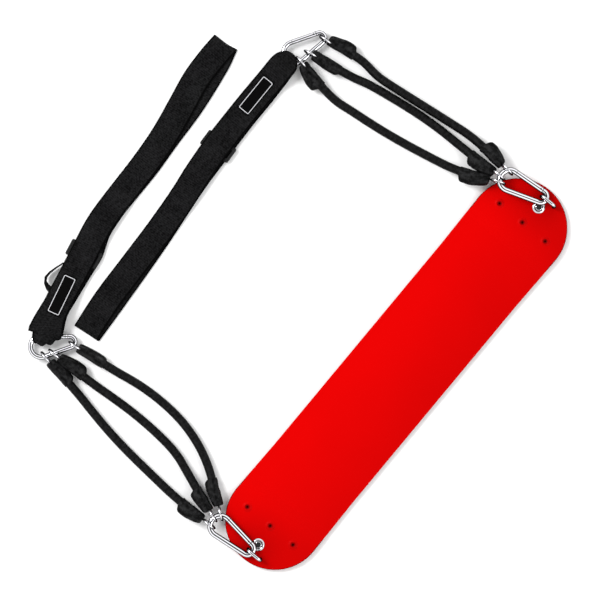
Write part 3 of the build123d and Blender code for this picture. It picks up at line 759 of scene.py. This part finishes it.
def weave_band(mesh, weave, strap):
    """The loop's cells, gathered into folds at the hook. Gives back the loop's length."""
    fold, outward = fold_middle(strap)
    outward = Vector((*outward, 0.0))
    pairs = matched_edges(loop_rows(strap))
    shares = [k / weave_cells for k in range(weave_cells + 1)]
    grid = []
    reached = [0.0]
    for i, (left, right) in enumerate(pairs):
        middle, following = (left + right) / 2, sum(pairs[(i + 1) % len(pairs)], Vector()) / 2
        reached.append(reached[-1] + (following - middle).length)
        near = math.exp(-((middle.xy - fold).length / gather_reach) ** 2)
        out = Vector((0, 0, 1)) if middle.z > hook_fold_middle else Vector((0, 0, -1))
        row = []
        for share in shares:
            lobe = math.sin(full_turn * strap["lobes"] * share + 0.6) * strap["lobe_depth"] * near
            sag = ripple_depth * math.sin(reached[-1] * ripples_per_metre) * math.sin(math.pi * share)
            lift = lobe if middle.z > off_floor else abs(lobe) * 0.2
            push = strap["bow"] * (4 * share * (1 - share) + 0.25 * math.sin(6 * math.pi * share))
            row.append(mesh.verts.new(left.lerp(right, share) + out * lift + outward * push * near
                                      + Vector((0, 0, abs(sag) if middle.z < on_floor else sag))))
        grid.append(row)
    across = [(share - 0.5) * webbing_width for share in shares]
    for i, row in enumerate(grid):
        join_rows(mesh, weave, row, grid[(i + 1) % len(grid)], across, reached[i:i + 2])
    return reached[-1]


def draw_out_slack(mesh, weave, edges):
    """The slack of the upper layer, standing on edge beside the strap."""
    wide, long = slack_cell
    rows = [[mesh.verts.new(low.lerp(high, k / slack_cells)) for k in range(slack_cells + 1)]
            for low, high in zip(*edges)]
    across = [k * wide for k in range(slack_cells + 1)]
    for i, (row, following) in enumerate(zip(rows, rows[1:])):
        join_rows(mesh, weave, row, following, across, (i * long, (i + 1) * long))


def weave_strap(side, strap):
    """The whole loop as one closed band, with its slack where it has any."""
    mesh = bmesh.new()
    weave = mesh.loops.layers.uv.new("weave")
    loop_length = weave_band(mesh, weave, strap)
    if strap["slack"]:
        draw_out_slack(mesh, weave, strap["slack"])
    bmesh.ops.recalc_face_normals(mesh, faces=mesh.faces)
    data = bpy.data.meshes.new(side + "_webbing_loop")
    mesh.to_mesh(data)
    mesh.free()
    band = bpy.data.objects.new(side + "_webbing_loop", data)
    bpy.context.scene.collection.objects.link(band)
    data.materials.append(webbing_material)
    bpy.ops.object.select_all(action="DESELECT")
    band.select_set(True)
    bpy.context.view_layer.objects.active = band
    thick = band.modifiers.new("webbing_thickness", "SOLIDIFY")
    thick.thickness = webbing_thickness
    thick.offset = 0.0
    bpy.ops.object.modifier_apply(modifier="webbing_thickness")
    return band, loop_length


bands = {}
for side, strap in straps.items():
    band, loop_length = weave_strap(side, strap)
    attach(band, side + "_webbing")
    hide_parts(side + "_strap")
    side + "_strap_hook"
    side + "_strap_slider"
    bands[side] = band

# ---------------------------------------------------------------------------
# The labels: a sewn patch of black satin tape on each strap, with a plain
# woven border and nothing in it.
# ---------------------------------------------------------------------------
label_long, label_wide, label_thickness = 0.060, 0.0195, 0.0005
label_cells = (30, 10)
label_gap = 0.0001          # between the patch and the webbing
border_long, border_wide, border_corner, border_line = 0.0545, 0.0158, 0.0014, 0.0005
thread_pitch = 0.0008
label_places = {"left": (-0.2139, 0.4304, 15.0), "right": (0.1745, 0.4004, 0.6)}

satin = Finish("label_satin", Specular_IOR_Level=0.03)
u, v, _ = satin.axes(satin.node("ShaderNodeUVMap", dict(uv_map="label")))
to_end = abs(u) - (border_long / 2 - border_corner)
to_side = abs(v) - (border_wide / 2 - border_corner)
past_end, past_side = to_end.most(0.0), to_side.most(0.0)
inner = to_end.most(to_side).least(0.0)
off_line = abs((past_end * past_end + past_side * past_side).root() + inner - border_corner)
threads = (v * (full_turn / thread_pitch)).sin() * 0.5 + (u * (full_turn / thread_pitch)).sin() * 0.5
thread_noise = satin.noise(satin.place(), 900.0, 2.0)
drawn = (off_line < border_line).unit()
satin_material = satin.finish(
    Base_Color=satin.blend(drawn * (thread_noise * 0.35 + 0.75),
                           satin.blend(thread_noise, grey(.0003), grey(.0014)), grey(.60)),
    Roughness=thread_noise * 0.2 + 0.42,
    Normal=satin.relief(threads * 0.4 + drawn * 1.2, 0.0003, 0.6),
)


def sew_label(side):
    """A patch laid on the strap: every point drops onto the webbing under it."""
    x, y, turn = label_places[side]
    cosine, sine = math.cos(math.radians(turn)), math.sin(math.radians(turn))
    bpy.ops.object.select_all(action="DESELECT")
    bpy.ops.mesh.primitive_grid_add(x_subdivisions=label_cells[0], y_subdivisions=label_cells[1],
                                    size=1.0, calc_uvs=False)
    label = bpy.context.active_object
    label.name = side + "_label_patch"
    ground = BVHTree.FromObject(bands[side], bpy.context.evaluated_depsgraph_get())
    marks = label.data.uv_layers.new(name="label")
    flat = [(vertex.co.x * label_long, vertex.co.y * label_wide) for vertex in label.data.vertices]
    for loop in label.data.loops:
        marks.data[loop.index].uv = flat[loop.vertex_index]
    for vertex, (a, b) in zip(label.data.vertices, flat):
        spot = Vector((x + a * cosine - b * sine, y + a * sine + b * cosine, 0.1))
        hit, _, _, _ = ground.ray_cast(spot, Vector((0, 0, -1)))
        vertex.co = (spot.x, spot.y, hit.z + label_gap)
    for face in label.data.polygons:
        face.use_smooth = True
    label.data.materials.append(satin_material)
    tape = label.modifiers.new("tape_thickness", "SOLIDIFY")
    tape.thickness = label_thickness
    tape.offset = 1.0
    bpy.ops.object.modifier_apply(modifier="tape_thickness")
    return label


for side in sides:
    label = sew_label(side)
    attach(label, side + "_webbing")
    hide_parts(side + "_strap_label")
    side + "_webbing_loop"

# ---------------------------------------------------------------------------
# The strap sliders: three-bar buckles of black painted steel between the two
# layers of webbing. Only their cheeks stand out at the webbing's edges.
# ---------------------------------------------------------------------------
paint = Finish("black_painted_steel", Metallic=0.0, Specular_IOR_Level=0.35)
paint_grain = paint.noise(paint.place(), 500.0, 3.0, 0.6)
paint_material = paint.finish(
    Base_Color=paint.blend(((paint_grain - 0.55) * 5.0).unit(), grey(.0045), grey(.030)),
    Roughness=paint_grain * 0.2 + 0.30,
    Normal=paint.relief(paint_grain, 0.0004, 0.3))
dress(paint_material, *(f"{side}_strap_slider" for side in sides))

# ---------------------------------------------------------------------------
# The floor and the studio light: a white sweep under the swing, a broad soft
# light from the straps' side, and a pale room with a dim ceiling above.
# ---------------------------------------------------------------------------
bpy.ops.object.select_all(action="DESELECT")
bpy.ops.mesh.primitive_plane_add(size=12.0, location=(0, 0, -0.0002))
floor = bpy.context.active_object
floor.name = "white_floor"
paper = Finish("white_paper", Base_Color=(.97, .97, .97, 1), Roughness=0.9, Specular_IOR_Level=0.1)
floor.data.materials.append(paper.finish())

sky = bpy.data.worlds.new("pale_studio")
sky.use_nodes = True
sky_tree = sky.node_tree
direction = sky_tree.nodes.new("ShaderNodeTexCoord")
upward = sky_tree.nodes.new("ShaderNodeSeparateXYZ")
walls = sky_tree.nodes.new("ShaderNodeValToRGB")
sky_tree.links.new(direction.outputs["Generated"], upward.inputs[0])
sky_tree.links.new(upward.outputs[2], walls.inputs[0])
sky_tree.links.new(walls.outputs[0], sky_tree.nodes["Background"].inputs[0])
# how bright the room is, from the floor's edge up to the ceiling
wall_levels = ((0.0, 0.30), (0.10, 0.15), (0.26, 1.0), (0.86, 1.0), (0.93, 0.03))
levels = walls.color_ramp.elements
for _ in wall_levels[2:]:
    levels.new(0.5)
for element, (place, level) in zip(levels, wall_levels):
    element.position = place
    element.color = (level, level, level, 1)
sky_tree.nodes["Background"].inputs[1].default_value = 1.12
bpy.context.scene.world = sky


def add_light(name, place, aim, size, power):
    lamp = bpy.data.lights.new(name, "AREA")
    lamp.shape = "SQUARE"
    lamp.size = size
    lamp.energy = power
    holder = bpy.data.objects.new(name, lamp)
    holder.location = place
    holder.rotation_euler = (Vector(aim) - Vector(place)).to_track_quat("-Z", "Y").to_euler()
    bpy.context.scene.collection.objects.link(holder)


add_light("window_light", (-0.4, 2.6, 2.3), (0, 0.2, 0), 1.3, 84.0)
add_light("fill_light", (0.5, -2.4, 2.2), (0, 0.15, 0), 1.3, 22.0)
